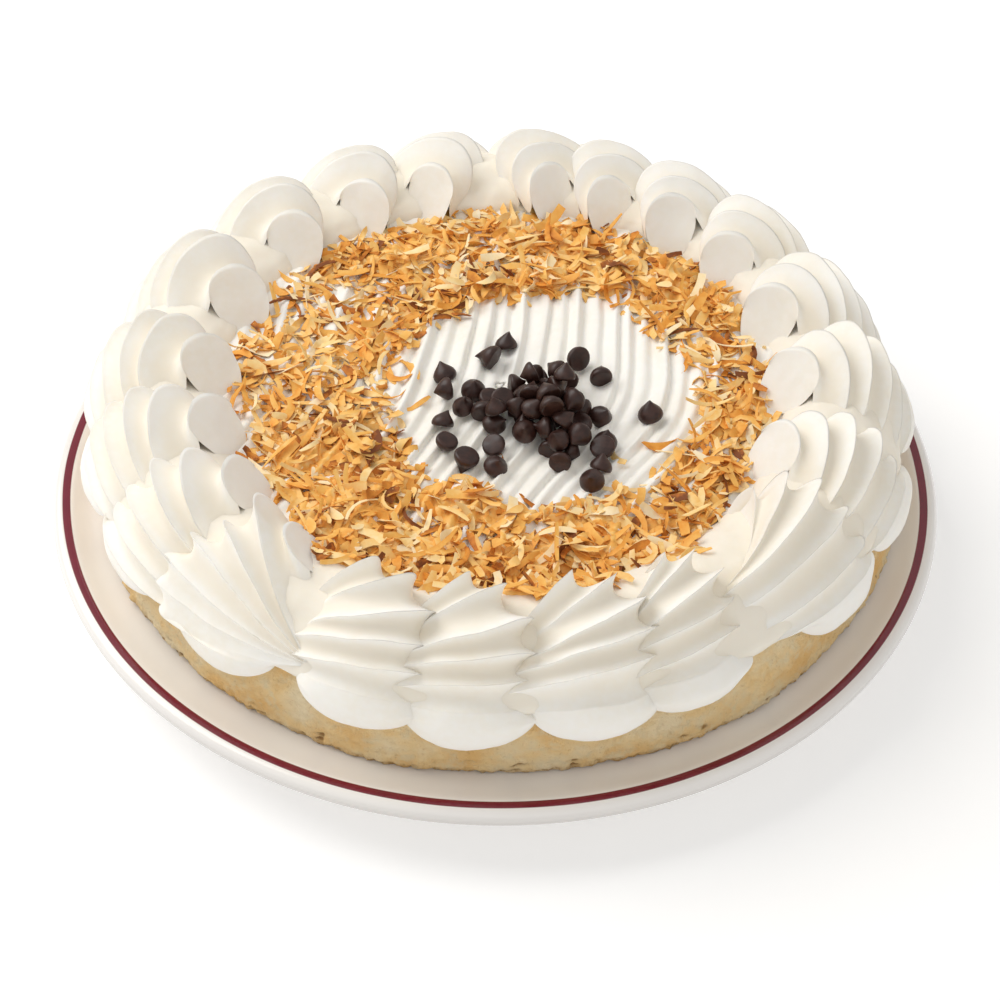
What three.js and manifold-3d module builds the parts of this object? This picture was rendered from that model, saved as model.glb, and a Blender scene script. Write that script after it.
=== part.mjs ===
// A whole round cream pie on its plate: a pastry crust, a layer of whipped
// cream combed into ridges, a border of twenty piped cream shells, a ring of
// toasted coconut shreds and a heap of chocolate drops.
// Millimetres, +Z up, origin at the centre of the plate's foot, on the table.

import * as THREE from 'three';
import { mergeVertices } from 'three/addons/utils/BufferGeometryUtils.js';
import Module from 'manifold-3d';

const wasm = await Module();
wasm.setup();

// ---------------------------------------------------------------- sizes ----
const GAP = 0.35;                 // free space between touching pieces
const SLIVER = 0.1;               // detail smaller than this is dropped after a cut


const BORDER_SLIVER = 0.3;        // the same for the piped border

// plate
const LINE_Z = 21.0;              // height of the plate's rim, where its coloured line runs
const PLATE_SEGMENTS = 44;
const RIM_RADIUS = 2.75;          // radius of the rolled edge
const RIM_CENTRE_R = 137.7;       // ring radius of the rolled edge
const WELL_DEPTH = 2.3;           // flat middle below the rim
const WELL_R = 127.0;
const PLATE_THICKNESS = 6.0;
const FOOT_R_OUT = 92.0;
const FOOT_R_IN = 86.0;

// pie
const PIE_X = 1.0;                // the pie stands a little off the plate's centre
const PIE_Y = 2.5;
const BASE_Z = LINE_Z - 2.0;      // underside of the crust
const CRUST_SEGMENTS = 40;
const CRUST_R = 126.3;            // widest, near the foot
const CRUST_RIM_R = 123.0;        // shoulder
const CRUST_RIM_Z = LINE_Z + 28.6;
const FILL_Z = LINE_Z + 24.0;     // the crust is filled solid up to here
const CREAM_R = 112.6;            // cream layer inside the crust's rim
const CREAM_Z = LINE_Z + 35.2;    // its plain top
const COMB_TOP = LINE_Z + 36.6;   // crests of the combed ridges
const COMB_FLOOR = LINE_Z + 33.9; // furrows between them
const COMB_PITCH = 5.8;
const COMB_HALF = 58.0;           // half width of the combed area

// piped shells
const SHELL_Z = CREAM_Z + GAP;     // level on which the shells sit
const RING_R = 103.5;             // radius of the ring on which they are piped

// A shell is a row of ridges from a star nozzle, side by side from the pie's
// middle to its edge. A ridge is an arch in its own leaning plane: it rises
// over the head, bends at its top and falls to the tail, under the next head.
// Each row: how far the top is outwards of the ring, its height, the lean of
// its plane, the turn of its run outwards, its place along the ring, length of
// the head, length of the tail, height over the feet, fullness of the tail,
// overhang of the head, drop of the tail.
const FRONT = [
  [-1.5, 16.4, 26, 42, 8.0, 6.0, 17, 17, 0.75, 4.5, 5.0],
  [2.0, 19.2, 28, 28, -3.0, 7.0, 24, 19, 0.75, 5.0, 6.0],
  [11.0, 15.8, 34, 19, -7.0, 9.0, 29, 17, 0.9, 4.5, 5.0],
  [17.6, 8.4, 36, 9, -6.0, 10.0, 31, 15, 1.0, 3.0, 4.0],
  [21.8, 0.8, 40, 6, -3.0, 11.5, 29, 13, 1.0, 2.0, 3.0],
  [25.2, -8.0, 56, 2, 2.0, 14.0, 19, 10, 1.0, 0.0, 0.0],
];
const COIN = [
  [-9.4, 14.8, 43, 45, 10.4, 8.5, 8.5, 8.5, 1.0, 0.0, 0.0],
  [-1.5, 17.4, 36, 32, 5.0, 13.0, 20.0, 16.0, 1.0, 2.5, 3.0],
  [7.5, 16.2, 38, 18, 2.5, 14.0, 24.0, 17.0, 1.0, 3.0, 4.0],
  [15.8, 8.6, 40, 8, 1.0, 14.5, 27.0, 16.0, 1.0, 2.5, 4.0],
  [21.5, -1.3, 44, 5, 2.0, 14.5, 27.0, 14.0, 1.0, 1.5, 3.0],
  [25.2, -9.5, 58, 3, 3.0, 15.5, 22.0, 10.0, 1.0, 0.0, 0.0],
];
const LEFT = [
  [-9.4, 14.8, 43, 45, 10.4, 8.5, 8.5, 8.5, 1.0, 0.0, 0.0],
  [2.0, 17.2, 36, 32, 5.0, 14.0, 20.0, 17.0, 1.0, 2.5, 3.0],
  [10.8, 13.8, 38, 18, 2.5, 14.0, 24.0, 17.0, 1.0, 3.0, 4.0],
  [18.6, 5.4, 40, 8, 1.0, 14.5, 27.0, 16.0, 1.0, 2.5, 4.0],
  [23.0, -3.2, 46, 5, 2.0, 14.5, 27.0, 14.0, 1.0, 1.5, 3.0],
  [25.6, -10.5, 58, 3, 3.0, 15.5, 22.0, 10.0, 1.0, 0.0, 0.0],
];
const FAN = [
  [-8.5, 14.0, 30, 42, 7.0, 6.0, 34, 16, 0.55, 5.0, 4.0],
  [-0.5, 19.0, 30, 25, 1.0, 8.0, 40, 19, 0.55, 6.0, 5.0],
  [8.5, 18.2, 36, 14, -1.5, 9.0, 42, 18, 0.65, 5.5, 5.0],
  [16.8, 10.0, 40, 4, -2.0, 10.0, 42, 16, 0.75, 4.0, 4.0],
  [22.5, -1.0, 46, 1, -1.0, 12.0, 40, 14, 0.85, 2.0, 3.0],
  [25.6, -9.0, 60, 0, 2.0, 15.0, 32, 10, 1.0, 0.0, 0.0],
];
// the ridges of the last shell of the left chain run together in one tip
const TIP = [20.0, 28.7, -7.5];
const MEET = [
  [-2.0, 14.8, 43, 45, 8.8, 9.0, 9.0, 9.0, 1.0, 0.0, 0.0],
  [-1.0, 18.8, 34, 30, -3.0, 12.0, 30, 13, 0.3, 2.0, 0.0, TIP],
  [9.0, 15.7, 36, 22, -5.0, 6.0, 30, 13, 0.3, 2.5, 0.0, TIP],
  [14.5, 10.7, 40, 12, -10.0, 6.0, 30, 12, 0.3, 2.5, 0.0, TIP],
  [20.5, 2.2, 50, 2, -17.0, 6.0, 30, 11, 0.3, 2.0, 0.0, TIP],
  [25.0, -6.5, 62, -4, -16.0, 5.0, 30, 9, 0.3, 1.0, 0.0, TIP],
  [27.2, -14.5, 80, -8, -9.0, 6.0, 26, 7, 0.4, 1.0, 0.0, TIP],
];
// the lobe that hangs over the crust, as more arches below the last ridge
const LOBE = [
  [27.4, -17.6, 116, 0, 3.5, 16, 17, 9, 1.0, 0.0, 0.0],
  [26.6, -21.4, 142, 0, 4.0, 16, 17, 12, 1.0, 0.0, 0.0],
  [24.4, -22.6, 156, 0, 4.0, 15, 16, 12, 1.0, 0.0, 0.0],
];
const VALLEY = [8.0, 5.6, 5.4, 5.0, 3.6, 2.2];      // depth of the furrows between ridges
const HEAD_STEPS = [0, 0.6, 1];                    // points along a ridge
const TAIL_STEPS = [0.4, 0.75, 1];
// the ring of cream inside the shells, which closes the joints between them
const BED = [[-11, -3.0], [-9.5, 0.5], [-5, 3.6], [5, 6.2], [11, 3.6], [15.5, -1.2], [21.6, -9.8], [21.8, -12], [18, -13], [6, -9]];

// Each shell: its place on the ring (degrees from the front, positive to the
// right), size, ridges, outwards, shift of the first ridge along the ring, lift
// of the fourth and fifth ridges, depth of the lobe. The first chain is piped
// clockwise from the back, the second one counter-clockwise, and the later
// shell covers the tail of the one before it.
const CHAIN_RIGHT = [
  [178.0, 0.98, COIN, 0, 0, 0, 0.9], [165.0, 0.96, COIN, 0, 0, 0, 0.9], [150.0, 0.98, COIN, 0, 0, 0, 0.9],
  [134.0, 1.00, COIN, 0, 0, 0, 0.9], [115.5, 1.03, COIN, -1, 0, 0, 0.95], [95.5, 1.02, COIN, 0, 0, 0, 1.0],
  [74.0, 1.00, COIN, 0, 0, 0, 0.8], [56.0, 1.02, FAN, 0, 0, 0, 0.95], [29.5, 0.95, FRONT, 0, -3.0, 0, 0.75],
  [16.0, 1.00, FRONT, 0, 1.0, 2.6, 0.95], [-1.0, 1.00, FRONT, 0, -1.0, 0, 1.05], [-15.5, 1.00, FRONT, 0, 1.0, 0, 0.9],
];
const CHAIN_LEFT = [
  [-172.0, 0.98, LEFT, 0, 0, 0, 0.9], [-157.0, 0.98, LEFT, 0, 0, 0, 0.9], [-139.5, 1.02, LEFT, 0, 0, 0, 0.9],
  [-119.0, 1.05, LEFT, 0, 0, 0, 0.9], [-97.0, 1.04, LEFT, 0, 0, 0, 0.9], [-79.0, 1.00, LEFT, 1.0, 0, 0, 0.9],
  [-61.5, 1.00, LEFT, 2.5, 0, 0, 0.8], [-41.5, 1.00, MEET, 0, 0, 0, 0.9],
];

// coconut ring and chocolate drops
const COCONUT_Z = COMB_TOP + GAP; // underside
const COCONUT_HIGH = 6.5;
const COCONUT_R_OUT = 81.5;       // about the pie's middle
const COCONUT_FRONT = 4.0;        // it reaches this much farther at the front
const CLEAR_X = 14.0;             // middle of the bare cream that it surrounds
const CLEAR_Y = -3.0;
const CLEAR_R = 48.0;
const CHIPS_X = 14.7;             // middle of the heap
const CHIPS_Y = -15.0;
const CHIPS_R = 19.0;
const CHIPS_HIGH = 13.0;

// ------------------------------------------------------------- helpers ----
const rad = (d) => (d * Math.PI) / 180;
const mix = (a, b, k) => a + (b - a) * k;
const smooth = (a, b, x) => {
  const k = Math.min(1, Math.max(0, (x - a) / (b - a)));
  return k * k * (3 - 2 * k);
};

function solidOf(geometry) {
  const g = geometry.index ? geometry.clone() : geometry;
  g.deleteAttribute('normal');
  g.deleteAttribute('uv');
  const m = mergeVertices(g, 1e-3);
  return new wasm.Manifold(new wasm.Mesh({
    numProp: 3,
    vertProperties: new Float32Array(m.attributes.position.array),
    triVerts: new Uint32Array(m.index.array),
  }));
}

function solidFrom(points, faces) {
  return new wasm.Manifold(new wasm.Mesh({
    numProp: 3,
    vertProperties: new Float32Array(points.flat()),
    triVerts: new Uint32Array(faces.flat()),
  }));
}

function geometryOf(solid) {
  const mesh = solid.getMesh();
  const g = new THREE.BufferGeometry();
  const n = mesh.numProp;
  const count = mesh.vertProperties.length / n;
  const pos = new Float32Array(count * 3);
  for (let i = 0; i < count; i++) {
    for (let k = 0; k < 3; k++) pos[i * 3 + k] = mesh.vertProperties[i * n + k];
  }
  g.setAttribute('position', new THREE.BufferAttribute(pos, 3));
  g.setIndex(new THREE.BufferAttribute(new Uint32Array(mesh.triVerts), 1));
  g.computeVertexNormals();
  return g;
}

// small slivers go, and of what a cut leaves only the biggest body stays
function largest(solid, sliver = SLIVER) {
  const biggest = (whole) => whole.decompose().sort((a, b) => b.volume() - a.volume())[0];
  let s = biggest(solid.simplify(sliver));
  for (let i = 0; i < 2; i++) s = biggest(solidOf(geometryOf(s)));
  return s;
}

// a turned body from a closed profile of [radius, height] points
function turned(profile, segments) {
  const g = new THREE.LatheGeometry(profile.map(([r, z]) => new THREE.Vector2(r, z)), segments);
  g.rotateX(Math.PI / 2);
  return g;
}

// outward-facing check: a turned body of the wrong sense is flipped
function outward(geometry) {
  const g = mergeVertices((() => { const c = geometry.clone(); c.deleteAttribute('normal'); c.deleteAttribute('uv'); return c; })(), 1e-3);
  const p = g.attributes.position, ix = g.index.array;
  const keep = [];
  let vol = 0;
  const v = (i) => new THREE.Vector3().fromBufferAttribute(p, i);
  for (let i = 0; i < ix.length; i += 3) {
    const [a, b, c] = [ix[i], ix[i + 1], ix[i + 2]];
    if (a === b || b === c || a === c) continue;
    keep.push(a, b, c);
    vol += v(a).dot(v(b).cross(v(c)));
  }
  if (vol < 0) for (let i = 0; i < keep.length; i += 3) [keep[i + 1], keep[i + 2]] = [keep[i + 2], keep[i + 1]];
  g.setIndex(keep);
  return g;
}

// ---------------------------------------------------------------- plate ----
function plateGeometry() {
  const top = LINE_Z - 0.1;
  const rimZ = top - RIM_RADIUS;
  const well = LINE_Z - WELL_DEPTH;
  const under = well - PLATE_THICKNESS;
  const profile = [[0, well], [WELL_R, well], [132.5, well + 1.3], [RIM_CENTRE_R - 1.5, top]];
  for (let k = 0; k <= 4; k++) {
    const a = rad(72 - k * 42);
    profile.push([RIM_CENTRE_R + RIM_RADIUS * Math.cos(a), rimZ + RIM_RADIUS * Math.sin(a)]);
  }
  profile.push([128, well - 4.8], [98, under - 0.6],
    [FOOT_R_OUT, 0], [FOOT_R_IN, 0], [82, under - 0.6], [0, under]);
  return outward(turned(profile, PLATE_SEGMENTS));
}

// ---------------------------------------------------------------- crust ----
function wobble(a) {
  return 0.35 * Math.sin(3 * a + 0.6) + 0.25 * Math.sin(7 * a + 2.1) + 0.2 * Math.sin(13 * a);
}

function roundPie(profile) {
  const g = outward(turned(profile, CRUST_SEGMENTS));
  const p = g.attributes.position;
  for (let i = 0; i < p.count; i++) {
    const x = p.getX(i), y = p.getY(i);
    const r = Math.hypot(x, y);
    if (r > 100) {
      const k = (r + wobble(Math.atan2(y, x))) / r;
      p.setXY(i, x * k, y * k);
    }
  }
  g.translate(PIE_X, PIE_Y, 0);
  return g;
}

function crustProfile() {
  return [
    [0, BASE_Z], [CRUST_R - 1.6, BASE_Z], [CRUST_R, BASE_Z + 2.2],
    [CRUST_R - 1.3, BASE_Z + 15], [CRUST_RIM_R, BASE_Z + 24], [CRUST_RIM_R - 2.2, CRUST_RIM_Z - 0.8],
    [CREAM_R + 3.4, CRUST_RIM_Z], [CREAM_R + GAP, FILL_Z], [0, FILL_Z],
  ];
}

// the room that crust and cream layer take up, with the gap around it
function coreSolid(g) {
  return solidOf(roundPie([
    [0, BASE_Z - 1], [CRUST_R + g, BASE_Z - 1], [CRUST_R + g, BASE_Z + 2.2],
    [CRUST_R - 1.3 + g, BASE_Z + 15], [CRUST_RIM_R + g, BASE_Z + 24], [CRUST_RIM_R - 2.2 + g, CRUST_RIM_Z - 0.8 + g],
    [CREAM_R + 2.4 + g, CRUST_RIM_Z + g], [CREAM_R + g, CREAM_Z + g], [0, CREAM_Z + g],
  ]));
}

// ---------------------------------------------------------- cream layer ----
// Ridges left by a comb: they run away from the front and bend to the left.
function combPoint(across, along) {
  const bend = 26 * Math.pow(smooth(10, -75, along), 1.4);
  const wave = 1.1 * Math.sin(along / 17 + across / 23);
  return [across + 0.10 * along - bend + wave, along];
}

function combSolid() {
  const cols = Math.round((2 * COMB_HALF) / COMB_PITCH) * 2;
  const rows = 5;
  const pts = [], faces = [];
  const at = (i, j, low) => (low * (rows + 1) + j) * (cols + 1) + i;
  for (let low = 0; low < 2; low++) {
    for (let j = 0; j <= rows; j++) {
      for (let i = 0; i <= cols; i++) {
        const across = mix(-COMB_HALF + 10, COMB_HALF + 12, i / cols);
        const along = mix(-COMB_HALF, COMB_HALF, j / rows);
        const [x, y] = combPoint(across, along);
        const z = low ? CREAM_Z - 4 : (i % 2 ? COMB_TOP : COMB_FLOOR);
        pts.push([x + PIE_X, y + PIE_Y, z]);
      }
    }
  }
  for (let j = 0; j < rows; j++) {
    for (let i = 0; i < cols; i++) {
      faces.push([at(i, j, 0), at(i + 1, j, 0), at(i + 1, j + 1, 0)], [at(i, j, 0), at(i + 1, j + 1, 0), at(i, j + 1, 0)]);
      faces.push([at(i, j, 1), at(i + 1, j + 1, 1), at(i + 1, j, 1)], [at(i, j, 1), at(i, j + 1, 1), at(i + 1, j + 1, 1)]);
    }
  }
  for (let i = 0; i < cols; i++) {
    faces.push([at(i, 0, 1), at(i + 1, 0, 1), at(i + 1, 0, 0)], [at(i, 0, 1), at(i + 1, 0, 0), at(i, 0, 0)]);
    faces.push([at(i, rows, 1), at(i + 1, rows, 0), at(i + 1, rows, 1)], [at(i, rows, 1), at(i, rows, 0), at(i + 1, rows, 0)]);
  }
  for (let j = 0; j < rows; j++) {
    faces.push([at(0, j, 1), at(0, j, 0), at(0, j + 1, 0)], [at(0, j, 1), at(0, j + 1, 0), at(0, j + 1, 1)]);
    faces.push([at(cols, j, 1), at(cols, j + 1, 0), at(cols, j, 0)], [at(cols, j, 1), at(cols, j + 1, 1), at(cols, j + 1, 0)]);
  }
  return solidFrom(pts, faces);
}

function creamLayerSolid() {
  const disc = solidOf(roundPie([[0, FILL_Z + GAP], [CREAM_R, FILL_Z + GAP], [CREAM_R, CREAM_Z - 1.5],
    [CREAM_R - 2, CREAM_Z], [58, CREAM_Z], [57, CREAM_Z - 2.4], [0, CREAM_Z - 2.4]]));
  const bound = solidOf(outward((() => {
    const g = turned([[0, CREAM_Z - 6], [58, CREAM_Z - 6], [58, COMB_TOP + 3], [0, COMB_TOP + 3]], CRUST_SEGMENTS);
    g.translate(PIE_X, PIE_Y, 0);
    return g;
  })()));
  return largest(disc.add(combSolid().intersect(bound)));
}

// --------------------------------------------------------- piped shells ----
const plus = (a, b, k = 1) => a.map((v, i) => v + k * b[i]);
const dot = (a, b) => a.reduce((sum, v, i) => sum + v * b[i], 0);
const unit = (a) => a.map((v) => v / Math.hypot(...a));
const blend = (A, B, k) => A.map((p, i) => p.map((v, j) => mix(v, B[i][j], k)));

// control points of a ridge [outwards, along, up]: foot of the head, its top
// and the foot of the tail, with the handles between them
function arch([x, u, lean, turn, t, head, tailLength, h, full, over, drop, tip]) {
  const top = [x, t, u];
  const yaw = tip ? Math.atan2(tip[0] - x, tip[1] - t) : rad(turn);
  const run = [Math.sin(yaw), Math.cos(yaw), 0];
  const up = [Math.cos(yaw) * Math.sin(rad(lean)), -Math.sin(yaw) * Math.sin(rad(lean)), Math.cos(rad(lean))];
  const foot = plus(plus(top, up, -h), run, over - head);
  const first = [foot, plus(plus(foot, up, 0.55 * h), run, -over), plus(top, run, -0.55 * head), top];
  if (tip) {
    const way = plus(tip, top, -1);
    return [...first, plus(top, run, 0.3 * tailLength), plus(plus(top, way, 0.72), up, h * full), tip];
  }
  const tail = plus(plus(plus(top, up, -h), run, tailLength), [0, 0, -drop]);
  return [...first, plus(top, run, 0.55 * tailLength), plus(tail, up, 0.55 * h * full), tail];
}

function bezier([a, b, c, d], s) {
  return a.map((_, i) => (1 - s) ** 3 * a[i] + 3 * s * (1 - s) ** 2 * b[i] + 3 * s * s * (1 - s) * c[i] + s ** 3 * d[i]);
}

function ridgeRows([, size, table, outwards, first, lift, lobe]) {
  const scaled = (row, i) => {
    const g = [...row];
    [0, 1, 4, 5, 6, 7].forEach((j) => { g[j] *= size; });
    g[0] += outwards;
    if (i === 3 || i === 4) g[1] += lift;
    if (i === 0) g[4] += first;
    if (g[11]) g[11] = plus(g[11], [0.15 * (i - 3), 0, 0.5 * (3 - i)]);
    return arch(g);
  };
  const ridges = table.map(scaled);
  const rows = [];
  const base = ridges[0];
  if (table === FRONT || table === FAN) {
    // inner side of the first ridge
    const share = [0.2, 0.8, 1, 1, 1, 0.8, 0.2];
    rows.push(base.map((p, i) => plus(p, [-6.5, 1, -13], share[i])));
  } else {
    // flat round face at the inner end: the far half of its rim
    const a = base[0], axis = unit(plus(base[6], a, -1));
    rows.push(base.map((p) => {
      const rel = plus(p, a, -1);
      const along = dot(rel, axis);
      return plus(plus(a, rel, -1), axis, 2 * along);
    }));
  }
  const outOf = (P) => unit(plus(P[3], plus(P[0], P[6]), -0.5));
  for (let i = 0; i < ridges.length; i++) {
    rows.push(ridges[i]);
    if (i === ridges.length - 1) break;
    const A = ridges[i], B = ridges[i + 1];
    const n = unit(plus(outOf(A), outOf(B)));
    const deep = Math.min(VALLEY[i], 0.56 * Math.hypot(...plus(B[3], A[3], -1)));
    rows.push(blend(A, B, 0.5).map((p) => plus(p, n, -deep)));
  }
  LOBE.forEach((row) => {
    const g = [...row];
    g[0] += 0.3 * outwards;
    g[1] = -9 + (g[1] + 9) * lobe;
    g[5] *= size;
    g[6] *= size;
    rows.push(arch(g));
  });
  return rows;
}

// the closed bodies that make one shell: each fills the room between an arch
// and the next one, from furrow to crest or from crest to furrow
function shellSlices(shell, dir) {
  const place = ([x, t, u]) => {
    const b = rad(shell[0]) + (dir * t) / RING_R;
    return [PIE_X + (RING_R + x) * Math.sin(b), PIE_Y - (RING_R + x) * Math.cos(b), SHELL_Z + u];
  };
  const rows = ridgeRows(shell).map((P) => [
    ...HEAD_STEPS.map((s) => bezier(P.slice(0, 4), s)), ...TAIL_STEPS.map((s) => bezier(P.slice(3), s))].map(place));
  return rows.slice(1).map((row, i) => wasm.Manifold.hull([...rows[i], ...row]));
}

// The shells run into one another all round, so together they are one body.
function borderSolid() {
  const bed = turned([...BED, BED[0]].map(([x, u]) => [RING_R + x, SHELL_Z + u]), PLATE_SEGMENTS);
  bed.translate(PIE_X, PIE_Y, 0);
  const all = [solidOf(outward(bed))];
  [[CHAIN_RIGHT, -1], [CHAIN_LEFT, 1]].forEach(([rows, dir]) => rows.forEach((row) => all.push(...shellSlices(row, dir))));
  const s = wasm.Manifold.union(all);
  return largest(s.asOriginal().simplify(BORDER_SLIVER).subtract(coreSolid(GAP)));
}

// ------------------------------------------------- coconut and chocolate ----
function ringNoise(a) {
  return 0.5 * Math.sin(3 * a + 1.0) + 0.3 * Math.sin(5 * a + 2.2) + 0.2 * Math.sin(11 * a + 0.4);
}

function coconutSolid() {
  const n = 48;
  const pts = [], faces = [];
  const cx = CLEAR_X - PIE_X, cy = CLEAR_Y - PIE_Y;
  for (let i = 0; i < n; i++) {
    const a = (i / n) * 2 * Math.PI;
    const rin = CLEAR_R + 4 * ringNoise(a);
    // outer edge: a circle about the pie's middle, seen from the bare cream's
    const front = smooth(0.75, 0.95, -Math.sin(a));
    const big = COCONUT_R_OUT + Math.sin(9 * a) + COCONUT_FRONT * front;
    const b = cx * Math.cos(a) + cy * Math.sin(a);
    const rout = -b + Math.sqrt(b * b - cx * cx - cy * cy + big * big);
    const h = COCONUT_HIGH * (0.8 + 0.35 * ringNoise(a + 2));
    [[rin, 0], [mix(rin, rout, 0.25), 0.75 * h], [mix(rin, rout, 0.62), h], [rout, 0.6 * h], [rout, 0]].forEach(([r, z]) => {
      pts.push([CLEAR_X + r * Math.cos(a), CLEAR_Y + r * Math.sin(a), COCONUT_Z + z]);
    });
  }
  const id = (i, j) => (i % n) * 5 + (j % 5);
  for (let i = 0; i < n; i++) {
    for (let j = 0; j < 5; j++) {
      faces.push([id(i, j), id(i + 1, j), id(i + 1, j + 1)], [id(i, j), id(i + 1, j + 1), id(i, j + 1)]);
    }
  }
  const flip = (f) => [f[0], f[2], f[1]];
  let s = solidFrom(pts, faces);
  if (s.volume() <= 0) s = solidFrom(pts, faces.map(flip));
  return s;
}

function chipsSolid() {
  const n = 20;
  const rows = [[1, 0], [0.92, 0.38], [0.62, 0.72], [0.28, 0.95]];
  const pts = [], faces = [];
  rows.forEach(([k, h]) => {
    for (let i = 0; i < n; i++) {
      const a = (i / n) * 2 * Math.PI;
      const r = CHIPS_R * k * (1 + 0.16 * Math.sin(2 * a + 0.7) + 0.07 * Math.sin(5 * a));
      pts.push([CHIPS_X + r * Math.cos(a), CHIPS_Y + r * Math.sin(a), COCONUT_Z + CHIPS_HIGH * h * (h ? 1 + 0.06 * Math.sin(4 * a) : 1)]);
    }
  });
  const top = pts.length;
  pts.push([CHIPS_X, CHIPS_Y, COCONUT_Z + CHIPS_HIGH]);
  const low = pts.length;
  pts.push([CHIPS_X, CHIPS_Y, COCONUT_Z]);
  for (let i = 0; i < n; i++) {
    const k = (i + 1) % n;
    for (let j = 0; j < rows.length - 1; j++) {
      faces.push([j * n + i, j * n + k, (j + 1) * n + k], [j * n + i, (j + 1) * n + k, (j + 1) * n + i]);
    }
    faces.push([(rows.length - 1) * n + i, (rows.length - 1) * n + k, top], [k, i, low]);
  }
  return solidFrom(pts, faces);
}

// ------------------------------------------------------------ materials ----
const GLAZE = new THREE.MeshStandardMaterial({ color: 0xf1eee9, roughness: 0.22, metalness: 0 });
const PASTRY = new THREE.MeshStandardMaterial({ color: 0xdfc08c, roughness: 0.85, metalness: 0 });
const CREAM = new THREE.MeshStandardMaterial({ color: 0xf8f6f0, roughness: 0.5, metalness: 0 });
const COCONUT = new THREE.MeshStandardMaterial({ color: 0xe0a648, roughness: 0.7, metalness: 0 });
const CHOCOLATE = new THREE.MeshStandardMaterial({ color: 0x35201a, roughness: 0.45, metalness: 0 });

// ------------------------------------------------------------- assembly ----
const pie = new THREE.Group();
function add(name, geometry, material) {
  const mesh = new THREE.Mesh(geometry, material);
  mesh.name = name;
  pie.add(mesh);
}

add('plate', plateGeometry(), GLAZE);
add('crust', roundPie(crustProfile()), PASTRY);
add('cream_layer', geometryOf(creamLayerSolid()), CREAM);
add('cream_border', geometryOf(borderSolid()), CREAM);
add('coconut', geometryOf(coconutSolid()), COCONUT);
add('chips', geometryOf(chipsSolid()), CHOCOLATE);

export default pie;
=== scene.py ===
"""Whole round cream pie on its plate. All lengths below are in millimetres, as in the frame's
drawing, and become metres when a mesh is made."""
import math
import bpy
import numpy as np
from mathutils import Matrix, Vector


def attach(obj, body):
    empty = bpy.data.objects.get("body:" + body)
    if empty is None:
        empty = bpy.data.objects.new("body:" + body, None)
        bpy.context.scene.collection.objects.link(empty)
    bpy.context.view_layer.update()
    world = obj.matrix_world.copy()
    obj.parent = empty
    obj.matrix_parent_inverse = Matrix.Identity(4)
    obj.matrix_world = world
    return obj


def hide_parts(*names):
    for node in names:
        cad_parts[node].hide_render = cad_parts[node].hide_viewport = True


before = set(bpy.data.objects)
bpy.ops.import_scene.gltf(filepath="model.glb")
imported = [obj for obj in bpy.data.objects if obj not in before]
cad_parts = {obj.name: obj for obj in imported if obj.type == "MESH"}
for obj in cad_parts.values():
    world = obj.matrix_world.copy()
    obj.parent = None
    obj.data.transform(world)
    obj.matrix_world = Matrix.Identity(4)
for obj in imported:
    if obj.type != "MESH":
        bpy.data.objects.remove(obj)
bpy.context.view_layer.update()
MM = 0.001
PIE = np.array([1.0, 2.5])        # the pie's centre on the plate
LINE_Z = 21.0                     # height of the plate's coloured line
BASE_Z = LINE_Z - 2.0
CREAM_Z = LINE_Z + 35.2
COMB_TOP = LINE_Z + 36.6
COMB_FLOOR = LINE_Z + 33.9
COMB_PITCH = 5.8


# ------------------------------------------------------------------ helpers
def rad(d):
    return d * math.pi / 180.0


def mix(a, b, k):
    return a + (b - a) * k


def smooth(a, b, x):
    k = np.clip((np.asarray(x, float) - a) / (b - a), 0, 1)
    return k * k * (3 - 2 * k)


_perm = np.random.default_rng(11).permutation(256)
_perm = np.concatenate([_perm, _perm, _perm])
_grad = np.random.default_rng(12).normal(size=(256, 3))
_grad /= np.linalg.norm(_grad, axis=1)[:, None]


def perlin(p):
    """Smooth noise from -1 to 1 at points p (n, 3)."""
    p = np.asarray(p, float)
    i = np.floor(p).astype(int)
    f = p - i
    i &= 255
    w = f * f * f * (f * (f * 6 - 15) + 10)
    out = 0.0
    for dx in (0, 1):
        wx = w[:, 0] if dx else 1 - w[:, 0]
        for dy in (0, 1):
            wy = w[:, 1] if dy else 1 - w[:, 1]
            for dz in (0, 1):
                wz = w[:, 2] if dz else 1 - w[:, 2]
                h = _perm[_perm[_perm[(i[:, 0] + dx) & 255] + ((i[:, 1] + dy) & 255)] + ((i[:, 2] + dz) & 255)]
                g = _grad[h]
                d = g[:, 0] * (f[:, 0] - dx) + g[:, 1] * (f[:, 1] - dy) + g[:, 2] * (f[:, 2] - dz)
                out = out + wx * wy * wz * d
    return out * 1.6


def fbm(p, octaves=3, gain=0.5):
    p = np.asarray(p, float)
    out, amp, total = 0.0, 1.0, 0.0
    for k in range(octaves):
        out = out + amp * perlin(p * 2 ** k + 17.3 * k)
        total += amp
        amp *= gain
    return out / total


def vec_noise(p, scale):
    q = np.asarray(p, float) / scale
    return np.stack([perlin(q + o) for o in (3.1, 41.7, 87.9)], 1)


def piece(name, verts, faces, material, node=None, attrs=None, flat_angle=None):
    me = bpy.data.meshes.new(name)
    v = np.asarray(verts, float) * MM
    me.from_pydata(v.tolist(), [], faces.tolist() if hasattr(faces, "tolist") else faces)
    me.validate()
    me.polygons.foreach_set("use_smooth", [True] * len(me.polygons))
    if flat_angle:
        me.set_sharp_from_angle(angle=rad(flat_angle))
    for key, values in (attrs or {}).items():
        a = me.attributes.new(key, "FLOAT", "POINT")
        a.data.foreach_set("value", np.asarray(values, np.float32))
    me.materials.append(material)
    me.update()
    o = bpy.data.objects.new(name, me)
    bpy.context.scene.collection.objects.link(o)
    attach(o, "root")
    if node:
        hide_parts(node)
    return o


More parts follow.
